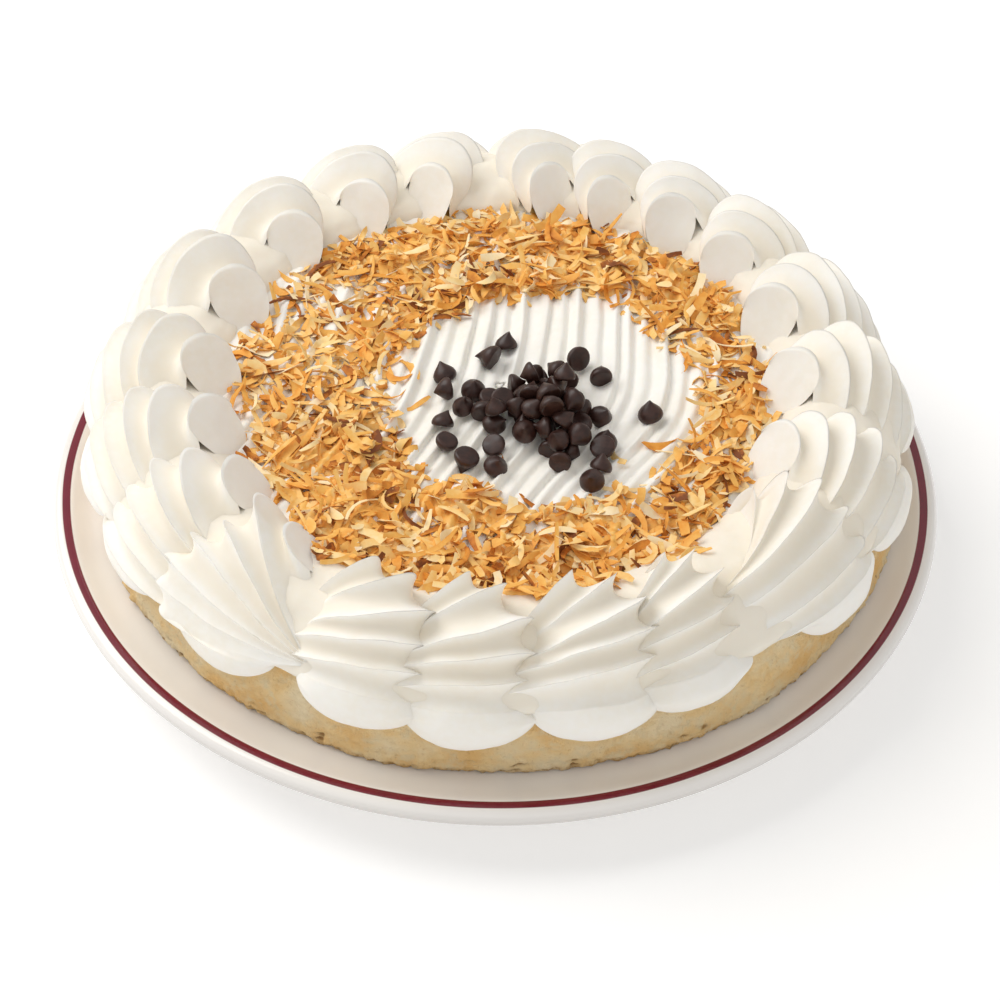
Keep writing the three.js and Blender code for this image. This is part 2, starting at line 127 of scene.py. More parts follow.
def grid_faces(rows, cols, wrap=False, start=0):
    """Quads of a grid of rows x cols points."""
    r = np.arange(rows - 1)[:, None]
    c = np.arange(cols if wrap else cols - 1)[None, :]
    n = (c + 1) % cols
    f = np.stack([r * cols + c, r * cols + n, (r + 1) * cols + n, (r + 1) * cols + c], -1)
    return f.reshape(-1, 4) + start


def lathe(profile, segments, centre=(0, 0)):
    """A closed turned body. The profile's first and last points are on the axis."""
    prof = np.asarray(profile, float)
    a = np.linspace(0, 2 * math.pi, segments, endpoint=False)
    mid = prof[1:-1]
    x = centre[0] + mid[:, 0][:, None] * np.cos(a)
    y = centre[1] + mid[:, 0][:, None] * np.sin(a)
    z = np.repeat(mid[:, 1][:, None], segments, 1)
    v = np.stack([x, y, z], -1).reshape(-1, 3)
    f = grid_faces(len(mid), segments, wrap=True).tolist()
    lo, hi = len(v), len(v) + 1
    v = np.vstack([v, [centre[0], centre[1], prof[0, 1]], [centre[0], centre[1], prof[-1, 1]]])
    last = (len(mid) - 1) * segments
    for i in range(segments):
        k = (i + 1) % segments
        f.append((lo, k, i))
        f.append((hi, last + i, last + k))
    return v, f


def resample(profile, steps):
    """Each stretch of the profile divided into the given number of steps."""
    out = [profile[0]]
    for (a, b), n in zip(zip(profile[:-1], profile[1:]), steps):
        for k in range(1, n + 1):
            out.append((mix(a[0], b[0], k / n), mix(a[1], b[1], k / n)))
    return out


# ---------------------------------------------------------------- materials
def lin(r, g, b):
    """sRGB 0-255 to linear."""
    def one(c):
        c /= 255.0
        return c / 12.92 if c <= 0.04045 else ((c + 0.055) / 1.055) ** 2.4
    return (one(r), one(g), one(b), 1.0)


class Nodes:
    def __init__(self, name):
        self.m = bpy.data.materials.new(name)
        self.m.use_nodes = True
        self.t = self.m.node_tree
        self.t.nodes.clear()
        self.out = self.t.nodes.new("ShaderNodeOutputMaterial")
        self.bsdf = self.t.nodes.new("ShaderNodeBsdfPrincipled")
        self.t.links.new(self.bsdf.outputs[0], self.out.inputs[0])
        self.coord = self.t.nodes.new("ShaderNodeTexCoord").outputs["Object"]

    def set(self, **k):
        for key, v in k.items():
            self.bsdf.inputs[key.replace("_", " ")].default_value = v

    def put(self, socket, value):
        if isinstance(value, bpy.types.NodeSocket):
            self.t.links.new(value, socket)
        else:
            socket.default_value = value

    def node(self, kind, **props):
        n = self.t.nodes.new(kind)
        for k, v in props.items():
            setattr(n, k, v)
        return n

    def noise(self, scale_mm, detail=3, rough=0.5, vector=None, distortion=0.0):
        n = self.node("ShaderNodeTexNoise")
        self.put(n.inputs["Vector"], vector or self.coord)
        n.inputs["Scale"].default_value = 1000.0 / scale_mm
        n.inputs["Detail"].default_value = detail
        n.inputs["Roughness"].default_value = rough
        n.inputs["Distortion"].default_value = distortion
        return n.outputs["Fac"]

    def attr(self, name):
        return self.node("ShaderNodeAttribute", attribute_name=name).outputs["Fac"]

    def math(self, op, a, b=0.0, c=0.0, clamp=False):
        n = self.node("ShaderNodeMath", operation=op, use_clamp=clamp)
        self.put(n.inputs[0], a)
        self.put(n.inputs[1], b)
        self.put(n.inputs[2], c)
        return n.outputs[0]

    def map(self, x, a, b, lo=0.0, hi=1.0, kind="SMOOTHSTEP"):
        n = self.node("ShaderNodeMapRange", interpolation_type=kind)
        self.put(n.inputs["Value"], x)
        n.inputs["From Min"].default_value = a
        n.inputs["From Max"].default_value = b
        n.inputs["To Min"].default_value = lo
        n.inputs["To Max"].default_value = hi
        return n.outputs["Result"]

    def ramp(self, x, stops):
        n = self.node("ShaderNodeValToRGB")
        e = n.color_ramp.elements
        e[0].position, e[0].color = stops[0]
        e[1].position, e[1].color = stops[-1]
        for p, c in stops[1:-1]:
            k = e.new(p)
            k.color = c
        self.put(n.inputs["Fac"], x)
        return n.outputs["Color"]

    def blend(self, f, a, b, kind="MIX"):
        n = self.node("ShaderNodeMix", data_type="RGBA", blend_type=kind)
        self.put(n.inputs["Factor"], f)
        self.put(n.inputs[6], a)
        self.put(n.inputs[7], b)
        return n.outputs[2]

    def bump(self, height, strength=0.5, distance_mm=0.3):
        n = self.node("ShaderNodeBump")
        n.inputs["Strength"].default_value = strength
        n.inputs["Distance"].default_value = distance_mm * MM
        self.put(n.inputs["Height"], height)
        self.t.links.new(n.outputs[0], self.bsdf.inputs["Normal"])

    def xyz(self):
        n = self.node("ShaderNodeSeparateXYZ")
        self.put(n.inputs[0], self.coord)
        return n.outputs


def cream_material(name="whipped_cream", warm=0.0):
    k = Nodes(name)
    big = k.noise(28, 2)
    fine = k.noise(2.6, 1, 0.6)
    col = k.blend(k.map(big, 0.35, 0.7), lin(250, 247, 240), lin(247, 242, 231))
    col = k.blend(k.map(fine, 0.3, 0.75, 0.0, 0.35), col, lin(252, 251, 248))
    # painted shade: the cream turns a warmer beige where valley_shade is high, deep in the valleys between piped ridges
    # and on the bed in the joints between shells
    col = k.blend(k.map(k.attr("valley_shade"), 0.35, 1.0, 0.0, 0.55), col, lin(243, 232, 211))
    k.put(k.bsdf.inputs["Base Color"], col)
    k.put(k.bsdf.inputs["Roughness"], k.map(fine, 0.2, 0.8, 0.44, 0.58))
    k.set(Specular_IOR_Level=0.35, Subsurface_Weight=0.1, Subsurface_Scale=0.0028)
    k.bsdf.inputs["Subsurface Radius"].default_value = (1.0, 0.8, 0.6)
    k.bsdf.inputs["IOR"].default_value = 1.4
    return k.m


def glaze_material():
    k = Nodes("glazed_ceramic")
    x, y, z = k.xyz()
    r = k.math("SQRT", k.math("ADD", k.math("MULTIPLY", x, x), k.math("MULTIPLY", y, y)))
    soft = k.noise(40, 2)
    body = k.blend(k.map(soft, 0.3, 0.7), lin(246, 243, 239), lin(241, 238, 235))
    wander = k.math("MULTIPLY", k.math("SUBTRACT", k.noise(30, 2), 0.5), 0.0003)
    d = k.math("ABSOLUTE", k.math("SUBTRACT", k.math("ADD", r, wander), 0.1360))
    on = k.map(d, 0.00112, 0.00142, 1.0, 0.0)
    up = k.map(z, 0.0180, 0.0184)
    on = k.math("MULTIPLY", on, up)
    # painted shade: the outer, lower side of the rolled rim is darkened to grey
    rim_underside_shade = k.math("MULTIPLY", k.map(z, 0.0168, 0.0206, 1.0, 0.0), k.map(r, 0.1372, 0.1390))
    body = k.blend(rim_underside_shade, body, lin(206, 202, 198))
    line = k.blend(k.noise(6, 2), lin(104, 12, 34), lin(124, 22, 46))
    k.put(k.bsdf.inputs["Base Color"], k.blend(on, body, line))
    k.set(Roughness=0.16, Coat_Weight=0.35, Coat_Roughness=0.06, Specular_IOR_Level=0.5)
    k.bump(k.noise(9, 2), 0.05, 0.2)
    return k.m


def pastry_material():
    k = Nodes("baked_pastry")
    x, y, z = k.xyz()
    big = k.noise(17, 3, 0.55)
    mid = k.noise(5.0, 4, 0.6)
    fine = k.noise(1.3, 4, 0.65)
    col = k.ramp(k.map(big, 0.28, 0.74), [(0.0, lin(250, 231, 192)), (0.45, lin(250, 218, 161)), (1.0, lin(243, 196, 125))])
    col = k.blend(k.map(mid, 0.46, 0.74, 0.0, 0.8), col, lin(240, 222, 184))
    col = k.blend(k.map(fine, 0.56, 0.80, 0.0, 0.55), col, lin(196, 148, 86))
    gap_shade_and_browning = k.attr("gap_shade_and_browning")
    # painted shade in the gaps pushed in along the crust's foot, with darker browning in random noise patches
    col = k.blend(k.map(gap_shade_and_browning, 0.25, 0.95, 0.0, 0.85), col, lin(150, 104, 56))
    # painted shadow: the crust turns darker brown, mottled by noise, along its foot just above the plate
    foot = k.map(z, 0.0192, 0.0222, 1.0, 0.0)
    col = k.blend(k.math("MULTIPLY", foot, k.map(fine, 0.4, 0.6, 0.25, 0.8)), col, lin(178, 134, 82))
    k.put(k.bsdf.inputs["Base Color"], col)
    k.set(Roughness=0.78, Specular_IOR_Level=0.25)
    k.bump(k.math("ADD", k.noise(0.8, 5, 0.7), k.math("MULTIPLY", fine, 1.2)), 0.9, 0.9)
    return k.m


def coconut_material():
    k = Nodes("toasted_coconut")
    tone = k.attr("tone")
    edge = k.attr("edge")
    n = k.noise(2.0, 2, 0.6)
    v = k.math("ADD", tone, k.math("MULTIPLY", k.math("SUBTRACT", n, 0.5), 0.30))
    v = k.math("ADD", v, k.math("MULTIPLY", edge, 0.13))
    col = k.ramp(v, [(0.0, lin(255, 240, 208)), (0.3, lin(253, 220, 154)), (0.52, lin(247, 190, 100)),
                     (0.74, lin(233, 156, 62)), (0.9, lin(190, 112, 42)), (1.0, lin(126, 70, 32))])
    k.put(k.bsdf.inputs["Base Color"], col)
    k.set(Roughness=0.6, Specular_IOR_Level=0.25, Subsurface_Weight=0.0, Subsurface_Scale=0.0022)
    k.bsdf.inputs["Subsurface Radius"].default_value = (1.0, 0.7, 0.35)
    k.bump(n, 0.3, 0.2)
    return k.m


def chocolate_material():
    k = Nodes("dark_chocolate")
    n = k.noise(2.5, 3, 0.6)
    fine = k.noise(0.8, 3, 0.6)
    col = k.blend(k.map(n, 0.35, 0.7), lin(46, 26, 21), lin(64, 39, 32))
    col = k.blend(k.map(fine, 0.62, 0.8, 0.0, 0.35), col, lin(86, 59, 49))
    k.put(k.bsdf.inputs["Base Color"], col)
    k.put(k.bsdf.inputs["Roughness"], k.map(n, 0.3, 0.7, 0.32, 0.48))
    k.set(Specular_IOR_Level=0.45)
    k.bump(k.math("ADD", n, k.math("MULTIPLY", fine, 0.4)), 0.25, 0.25)
    return k.m


CREAM = cream_material()
GLAZE = glaze_material()
PASTRY = pastry_material()
COCONUT = coconut_material()
CHOCOLATE = chocolate_material()


# -------------------------------------------------------------------- plate
def make_plate():
    top, well = LINE_Z - 0.1, LINE_Z - 2.3
    rim_r, rim_c = 2.75, 137.7
    rim_z, under = top - 2.75, LINE_Z - 2.3 - 6.0
    prof = [(0, under), (82, under - 0.6), (86, 0), (92, 0), (98, under - 0.6), (128, well - 4.8)]
    steps = [3, 4, 2, 4, 8]
    low = resample(prof, steps)
    arc = [(rim_c + rim_r * math.cos(rad(a)), rim_z + rim_r * math.sin(rad(a))) for a in np.linspace(-96, 86, 22)]
    slope = [(132.5 + 3.5 * k, well + 1.3 + 0.95 * math.sin(k * math.pi / 2)) for k in np.linspace(1, 0, 7)]
    flat = [(131.0, well + 0.72), (129.5, well + 0.30), (128.0, well + 0.07), (126.5, well), (110, well), (60, well), (0, well)]
    v, f = lathe(low + arc + slope + flat, 288)
    return piece("glazed_plate", v, f, GLAZE, "plate")


make_plate()


# -------------------------------------------------------------------- crust
def make_crust():
    R, RIM, RIM_Z = 126.3, 123.0, LINE_Z + 28.6
    fill_z, cream_r = LINE_Z + 24.0, 112.6
    prof = [(0, BASE_Z), (R - 6, BASE_Z), (R - 1.2, BASE_Z), (R, BASE_Z + 2.2), (R - 1.3, BASE_Z + 15), (RIM, BASE_Z + 24),
            (RIM - 2.2, RIM_Z - 0.8), (cream_r + 3.4, RIM_Z), (cream_r + 0.35, fill_z), (0, fill_z)]
    prof = resample(prof, [3, 5, 5, 30, 16, 6, 5, 4, 3])
    v, f = lathe(prof, 800, PIE)
    x, y, z = (v - [PIE[0], PIE[1], 0]).T
    r = np.hypot(x, y)
    a = np.arctan2(y, x)
    wob = 0.35 * np.sin(3 * a + 0.6) + 0.25 * np.sin(7 * a + 2.1) + 0.2 * np.sin(13 * a)
    ux, uy = np.cos(a), np.sin(a)
    side = smooth(113, 121, r)
    h = z - BASE_Z
    lump = 0.9 * fbm(v / 13.0, 2)
    grain = 0.70 * fbm(v / 3.0 + 5, 3)
    crumb = perlin(v / 1.7 + 9)
    crumb = 0.55 * np.clip(crumb, -1, 0.45)
    # thin baked layers show along the foot: flat tongues, one over another
    layer = perlin(np.stack([a * 30, h / 0.9, r * 0], 1))
    foot = smooth(5.5, 0.5, h)
    ragged = perlin(np.stack([a * 48, h * 0 + 4.0, r * 0], 1)) + 0.6 * perlin(np.stack([a * 110, h * 0 + 8.0, r * 0], 1))
    d = lump + grain + crumb + foot * (0.75 * layer + 0.55 * ragged - 0.1)
    gap = perlin(np.stack([a * 22 + 3, h / 1.5 + 7, r * 0], 1))
    dark = smooth(0.28, 0.6, gap) * smooth(7.0, 3.5, h) * smooth(0.2, 0.9, h)
    d -= 1.1 * dark
    d = np.clip(d, -2.2, 1.25) * side
    rr = r + np.where(r > 100, wob, 0) + d
    out = np.stack([PIE[0] + rr * ux, PIE[1] + rr * uy, z + 0.25 * side * perlin(v / 2.5 + 31) * smooth(0.3, 3, h)], 1)
    out[:, 2] = np.maximum(out[:, 2], BASE_Z)
    # painted shade in the pushed-in gaps along the foot, plus darker browning in random noise patches
    gap_shade_and_browning = np.clip(dark * 1.0 + smooth(0.25, 0.75, -fbm(v / 3.4 + 5, 3)) * 0.5 * side, 0, 1)
    return piece("baked_crust", out, f, PASTRY, "crust", {"gap_shade_and_browning": gap_shade_and_browning})


make_crust()


# -------------------------------------------------------------- cream layer
def comb_across(x, y):
    """Which ridge of the comb a point is on: across is the distance over the ridges."""
    bend = 26 * smooth(10, -75, y) ** 1.4
    wave = 1.1 * np.sin(y / 17 + x / 23)
    return x - 0.10 * y + bend - wave


def ridge_height(x, y):
    c = comb_across(x, y)
    c = c + 1.5 * perlin(np.stack([c / 13, y / 90, y * 0 + 2], 1)) + 0.35 * perlin(np.stack([c / 5, y / 14, y * 0 + 9], 1))
    u = c / COMB_PITCH
    i = np.floor(u)
    f = u - i
    amp = 0.86 + 0.30 * np.sin(i * 2.4 + 1.0) + 0.18 * perlin(np.stack([i * 3.3, y / 26, y * 0 + 5], 1))
    top = 0.66 + 0.12 * np.sin(i * 1.7)
    # a broad face that rises to a thin crest, then a short drop into the furrow
    rise = np.clip(f / top, 0, 1)
    fall = np.clip((1 - f) / (1 - top), 0, 1)
    shape = np.where(f < top, smooth(-0.25, 1, rise) ** 1.2, smooth(0, 1, fall))
    return 0.12 + 0.80 * shape * amp


def make_layer():
    R, bottom = 112.6, LINE_Z + 24.35
    nr, na = 150, 460
    rr = R * (np.arange(1, nr + 1) / nr) ** 0.9
    a = np.linspace(0, 2 * math.pi, na, endpoint=False)
    x = (rr[:, None] * np.cos(a)).ravel()
    y = (rr[:, None] * np.sin(a)).ravel()
    r = np.hypot(x, y)
    depth = mix(COMB_TOP - COMB_FLOOR, 1.0, smooth(62, 92, r))
    z = mix(COMB_FLOOR, CREAM_Z - 0.8, smooth(62, 92, r)) + depth * ridge_height(x, y)
    z += 0.5 * fbm(np.stack([x / 24, y / 24, x * 0], 1), 2) + 0.10 * perlin(np.stack([x / 3, y / 3, x * 0], 1))
    z = np.minimum(z, COMB_TOP + 0.5)
    z = np.where(r > R - 1.5, CREAM_Z - 1.2, z)
    v = np.stack([PIE[0] + x, PIE[1] + y, z], 1)
    f = grid_faces(nr, na, wrap=True).tolist()
    top = len(v)
    v = np.vstack([v, [[PIE[0], PIE[1], z[:na].mean()]]])
    low0 = len(v)
    ring = np.stack([PIE[0] + R * np.cos(a), PIE[1] + R * np.sin(a), np.full(na, bottom)], 1)
    v = np.vstack([v, ring, [[PIE[0], PIE[1], bottom]]])
    lowc = len(v) - 1
    last = (nr - 1) * na
    for i in range(na):
        k = (i + 1) % na
        f.append((top, i, k))
        f.append((last + i, low0 + i, low0 + k, last + k))
        f.append((lowc, low0 + k, low0 + i))
    return piece("combed_cream", v, f, CREAM, "cream_layer")


make_layer()


# ------------------------------------------------------------- piped shells
# Each shell is a stack of ridges from a star nozzle, side by side from the pie's middle to its edge.
# A ridge is an arch in its own leaning plane: it rises over the head, bends at its top and falls to the
# tail, under the next shell's head. x runs to the pie's edge, t along the ring to the tail, u is up.
SHELL_Z = CREAM_Z + 0.35
RING_R = 103.5
# top x, u, lean, turn of the run outwards, top t, head length, tail length, height, tail height,
# overhang of the head, drop of the tail; a fan's ridges also have the point where they meet
FRONT = [
    (-2.6, 18.8, 22, 42, 8.0, 6.0, 18, 20, 0.8, 4.5, 5.0),
    (2.0, 19.2, 28, 28, -3.0, 7.0, 24, 19, 0.75, 5.0, 6.0),
    (11.0, 15.8, 34, 19, -7.0, 9.0, 29, 17, 0.9, 4.5, 5.0),
    (17.6, 8.4, 36, 9, -6.0, 10.0, 31, 15, 1.0, 3.0, 4.0),
    (21.8, 0.8, 40, 6, -3.0, 11.5, 29, 13, 1.0, 2.0, 3.0),
    (25.2, -8.0, 56, 2, 2.0, 14.0, 19, 10, 1.0, 0.0, 0.0),
]
COIN = [
    (-9.2, 15.4, 40, 45, 9.6, 9.3, 9.3, 9.3, 1.0, 0.0, 0.0),
    (-1.5, 17.4, 36, 32, 5.0, 13.0, 20.0, 16.0, 1.0, 2.5, 3.0),
    (7.5, 16.2, 38, 18, 2.5, 14.0, 24.0, 17.0, 1.0, 3.0, 4.0),
    (15.8, 8.6, 40, 8, 1.0, 14.5, 27.0, 16.0, 1.0, 2.5, 4.0),
    (21.5, -1.3, 44, 5, 2.0, 14.5, 27.0, 14.0, 1.0, 1.5, 3.0),
    (25.2, -9.5, 58, 3, 3.0, 15.5, 22.0, 10.0, 1.0, 0.0, 0.0),
]
LEFT = [
    (-9.2, 15.4, 40, 45, 9.6, 9.3, 9.3, 9.3, 1.0, 0.0, 0.0),
    (2.0, 17.2, 36, 32, 5.0, 14.0, 20.0, 17.0, 1.0, 2.5, 3.0),
    (10.8, 13.8, 38, 18, 2.5, 14.0, 24.0, 17.0, 1.0, 3.0, 4.0),
    (18.6, 5.4, 40, 8, 1.0, 14.5, 27.0, 16.0, 1.0, 2.5, 4.0),
    (23.0, -3.2, 46, 5, 2.0, 14.5, 27.0, 14.0, 1.0, 1.5, 3.0),
    (25.6, -10.5, 58, 3, 3.0, 15.5, 22.0, 10.0, 1.0, 0.0, 0.0),
]
FAN = [
    (-8.5, 14.0, 30, 42, 7.0, 6.0, 34, 16, 0.55, 5.0, 4.0),
    (-0.5, 19.0, 30, 25, 1.0, 8.0, 40, 19, 0.55, 6.0, 5.0),
    (8.5, 18.2, 36, 14, -1.5, 9.0, 42, 18, 0.65, 5.5, 5.0),
    (16.8, 10.0, 40, 4, -2.0, 10.0, 42, 16, 0.75, 4.0, 4.0),
    (22.5, -1.0, 46, 1, -1.0, 12.0, 40, 14, 0.85, 2.0, 3.0),
    (25.6, -9.0, 60, 0, 2.0, 15.0, 32, 10, 1.0, 0.0, 0.0),
]
TIP = (20.0, 28.7, -7.5)
MEET = [
    (-2.0, 14.8, 43, 45, 8.8, 9.0, 9.0, 9.0, 1.0, 0.0, 0.0),
    (-1.0, 18.8, 34, 30, -3.0, 12.0, 30, 13, 0.3, 2.0, 0.0, TIP),
    (9.0, 15.7, 36, 22, -5.0, 6.0, 30, 13, 0.3, 2.5, 0.0, TIP),
    (14.5, 10.7, 40, 12, -10.0, 6.0, 30, 12, 0.3, 2.5, 0.0, TIP),
    (20.5, 2.2, 50, 2, -17.0, 6.0, 30, 11, 0.3, 2.0, 0.0, TIP),
    (25.0, -6.5, 62, -4, -16.0, 5.0, 30, 9, 0.3, 1.0, 0.0, TIP),
    (27.2, -14.5, 80, -8, -9.0, 6.0, 26, 7, 0.4, 1.0, 0.0, TIP),
]
LOBE = [
    (27.0, -13.0, 88, 0, 3.0, 15, 17, 6, 1.0, 0.0, 0.0),
    (27.4, -17.6, 116, 0, 3.5, 16, 17, 9, 1.0, 0.0, 0.0),
    (26.6, -21.4, 142, 0, 4.0, 16, 17, 12, 1.0, 0.0, 0.0),
    (24.4, -22.6, 156, 0, 4.0, 15, 16, 12, 1.0, 0.0, 0.0),
    (19.5, -19.0, 170, 0, 4.0, 13, 14, 8, 1.0, 0.0, 0.0),
]
VALLEY = (8.0, 5.6, 5.4, 5.0, 3.6, 2.2)
BIAS = (1.15, 0.9, 0.85, 0.8, 0.8, 0.8)

# at (degrees from the front, positive to the right), size, ridges, outwards, shift of the first ridge's
# top along the ring, lift of the fourth and fifth ridges, depth of the lobe
CHAIN_RIGHT = [
    (178.0, 0.98, COIN, 0, 0, 0, 0.9), (165.0, 0.96, COIN, 0, 0, 0, 0.9), (150.0, 0.98, COIN, 0, 0, 0, 0.9),
    (134.0, 1.00, COIN, 0, 0, 0, 0.9), (115.5, 1.03, COIN, -1, 0, 0, 0.95), (95.5, 1.02, COIN, 0, 0, 0, 1.0),
    (74.0, 1.00, COIN, 0, 0, 0, 0.8), (56.0, 1.02, FAN, 0, 0, 0, 0.95), (29.5, 0.95, FRONT, 0, -3.0, 0, 0.75),
    (16.0, 1.00, FRONT, 0, 1.0, 2.6, 0.95), (-1.0, 1.00, FRONT, 0, -1.0, 0, 1.05), (-15.5, 1.00, FRONT, 0, 1.0, 0, 0.9),
]
CHAIN_LEFT = [
    (-172.0, 0.98, LEFT, 0, 0, 0, 0.9), (-157.0, 0.98, LEFT, 0, 0, 0, 0.9), (-139.5, 1.02, LEFT, 0, 0, 0, 0.9),
    (-119.0, 1.05, LEFT, 0, 0, 0, 0.9), (-97.0, 1.04, LEFT, 0, 0, 0, 0.9), (-79.0, 1.00, LEFT, 1.0, 0, 0, 0.9),
    (-61.5, 1.00, LEFT, 2.5, 0, 0, 0.8), (-41.5, 1.00, MEET, 0, 0, 0, 0.9),
]


def arch(g):
    """Seven control points of a ridge: foot of the head, top, foot of the tail, with their handles."""
    x, u, lean, turn, t, La, Lb, h, k, over, drop = g[:11]
    top = np.array([x, t, u])
    if len(g) > 11:
        tail = np.array(g[11])
        turn = math.degrees(math.atan2(tail[0] - x, tail[1] - t))
    d = np.array([math.sin(rad(turn)), math.cos(rad(turn)), 0.0])
    w = np.array([math.cos(rad(turn)) * math.sin(rad(lean)), -math.sin(rad(turn)) * math.sin(rad(lean)), math.cos(rad(lean))])
    foot = top - w * h - d * (La - over)
    if len(g) > 11:
        run = tail - top
        return np.array([foot, foot + w * h * 0.55 - d * over, top - d * La * 0.55, top, top + d * 0.3 * Lb,
                         top + 0.72 * run + w * h * k, tail])
    tail = top - w * h + d * Lb - np.array([0, 0, drop])
    return np.array([foot, foot + w * h * 0.55 - d * over, top - d * La * 0.55, top, top + d * Lb * 0.55,
                     tail + w * h * k * 0.55, tail])


def run_of(P, nh=15, nt=20):
    """Points along the ridges with control points P (n, 7, 3)."""
    def bez(a, b, c, e, s):
        s = s[None, :, None]
        a, b, c, e = (q[:, None, :] for q in (a, b, c, e))
        return (1 - s) ** 3 * a + 3 * s * (1 - s) ** 2 * b + 3 * s * s * (1 - s) * c + s ** 3 * e
    head = bez(P[:, 0], P[:, 1], P[:, 2], P[:, 3], np.linspace(0, 1, nh))
    tail = bez(P[:, 3], P[:, 4], P[:, 5], P[:, 6], np.linspace(0, 1, nt)[1:])
    return np.concatenate([head, tail], 1)


def ridge_rows(row, r):
    at, size, table, out, first, lift, lobe = row
    K = []
    for i, g in enumerate(table):
        g = list(g)
        fan = len(g) > 11
        for j in (0, 1, 4, 5, 6, 7):
            g[j] *= size
        g[0] += out + r.normal(0, 0.35)
        g[1] += r.normal(0, 0.35) + (lift if i in (3, 4) else 0)
        g[2] += r.normal(0, 1.5)
        g[4] += r.normal(0, 0.6) + (first if i == 0 else 0)
        K.append(arch(g[:11] + ([tuple(np.array(TIP) + [0.15 * (i - 3), 0, 0.5 * (3 - i)])] if fan else [])))
    L = []
    for g in LOBE:
        g = list(g)
        g[0] += out * 0.3
        g[1] = -9.0 + (g[1] + 9.0) * lobe
        g[5] *= size
        g[6] *= size
        L.append(arch(g))
    rows, deepness = [], {}
    disc = table is not FRONT and table is not FAN
    base = K[0].copy()
    if disc:
        # the flat face at the inner end, from the far half of its rim to the near half
        a, b = base[0], base[6]
        axis = (b - a) / np.linalg.norm(b - a)
        rel = base - a
        along = (rel @ axis)[:, None] * axis
        mirror = a + along - (rel - along)
        across = np.cross(axis, rel[3] - along[3])
        across /= -np.linalg.norm(across)
        mirror = a + along - 1.55 * (rel - along)
        for q in np.linspace(0, 1, 14, endpoint=False):
            rows.append(mix(mirror, base, q) - 0.7 * math.sin(math.pi * min(1.0, 0.4 + q * 0.6)) * across)
    else:
        # the first ridge's inner side
        inner = base + np.array([-6.5, 1.0, -13.0]) * np.array([0.2, 0.8, 1, 1, 1, 0.8, 0.2])[:, None]
        for q in np.linspace(0, 1, 10, endpoint=False):
            rows.append(mix(inner, base, q) - math.sin(math.pi * q) * np.array([-1.5, 0, 0.8]))
    push = np.array([1.1, 1.0, 1.0, 1.0, 1.0, 1.0, 1.1])[:, None]
    for i in range(len(K) - 1):
        A, B = K[i], K[i + 1]
        def out_of(P):
            v = P[3] - 0.5 * (P[0] + P[6])
            return v / np.linalg.norm(v)
        n = out_of(A) + out_of(B)
        n /= np.linalg.norm(n)
        gap = np.linalg.norm(B[3] - A[3])
        deep = min(VALLEY[i], 0.56 * gap)
        m = 17
        q = np.linspace(0, 1, m, endpoint=False)
        q = 0.5 - 0.5 * np.cos(math.pi * q)          # closer together at the crests
        q = mix(q, np.linspace(0, 1, m, endpoint=False), 0.3)
        for s in q:
            dip = math.sin(math.pi * s ** BIAS[i]) ** 0.82
            rows.append(mix(A, B, s) - push * n * deep * dip)
            # painted shade: how deep each valley row lies, used to tint the cream darker there
            deepness[len(rows) - 1] = dip * min(1.0, deep / 5.0)
    chain = [K[-1]] + L
    for i in range(len(chain) - 1):
        p0 = chain[max(i - 1, 0)]
        p1, p2 = chain[i], chain[i + 1]
        p3 = chain[min(i + 2, len(chain) - 1)]
        for j in range(5):
            s = j / 5
            rows.append(0.5 * (2 * p1 + (p2 - p0) * s + (2 * p0 - 5 * p1 + 4 * p2 - p3) * s * s + (3 * p1 - p0 - 3 * p2 + p3) * s ** 3))
    rows.append(chain[-1])
    return np.array(rows), np.array([deepness.get(i, 0.0) for i in range(len(rows))])


def shell_bed():
    """The ring of cream inside the shells, which closes the joints between them."""
    prof = [(-17.0, -2.6), (-15.5, 0.2), (-12.0, 3.2), (-6.5, 5.4), (-1.0, 6.4), (5.0, 6.2), (11.0, 3.6), (15.5, -1.2), (19.2, -6.5), (21.6, -9.8),
            (21.8, -12.0), (20.0, -13.0), (18.0, -9.0)]
    prof = np.array(resample(prof, [3] * 12))
    na = 480
    a = np.linspace(0, 2 * math.pi, na, endpoint=False)
    rr = RING_R + prof[:, 0][:, None] + 0 * a
    z = SHELL_Z + prof[:, 1][:, None] + 0 * a
    v = np.stack([PIE[0] + rr * np.cos(a), PIE[1] + rr * np.sin(a), z], -1).reshape(-1, 3)
    v += 0.9 * vec_noise(v, 9.0) + 0.3 * vec_noise(v + 20, 3.0)
    f = grid_faces(len(prof), na, wrap=True)[:, ::-1]
    return v, f


def shell_mesh(row, direction, seed):
    r = np.random.default_rng(seed)
    P, deepness = ridge_rows(row, r)
    A = run_of(P).transpose(1, 0, 2)
    rows, cols = A.shape[:2]
    rr = RING_R + A[..., 0]
    b = rad(row[0]) + direction * A[..., 1] / RING_R
    v = np.stack([PIE[0] + rr * np.sin(b), PIE[1] - rr * np.cos(b), SHELL_Z + A[..., 2]], -1).reshape(-1, 3)
    v += 0.55 * vec_noise(v, 13.0) + 0.14 * vec_noise(v + 50, 3.8)
    f = grid_faces(rows, cols)
    if direction < 0:
        f = f[:, ::-1]
    return v, f, np.tile(deepness, rows)


def make_shells(name, chain, direction, seed):
    vs, fs, ds, n = [], [], [], 0
    if direction > 0:
        v, f = shell_bed()
        # painted shade: the bed in the joints between shells gets full valley_shade
        vs, fs, ds, n = [v], [f], [np.ones(len(v))], len(v)
    for i, row in enumerate(chain):
        v, f, d = shell_mesh(row, direction, seed + i)
        vs.append(v)
        ds.append(d)
        fs.append(f + n)
        n += len(v)
    print(name, "triangles", 2 * sum(len(f) for f in fs))
    return piece(name, np.vstack(vs), np.vstack(fs), CREAM, "cream_border", {"valley_shade": np.concatenate(ds)})


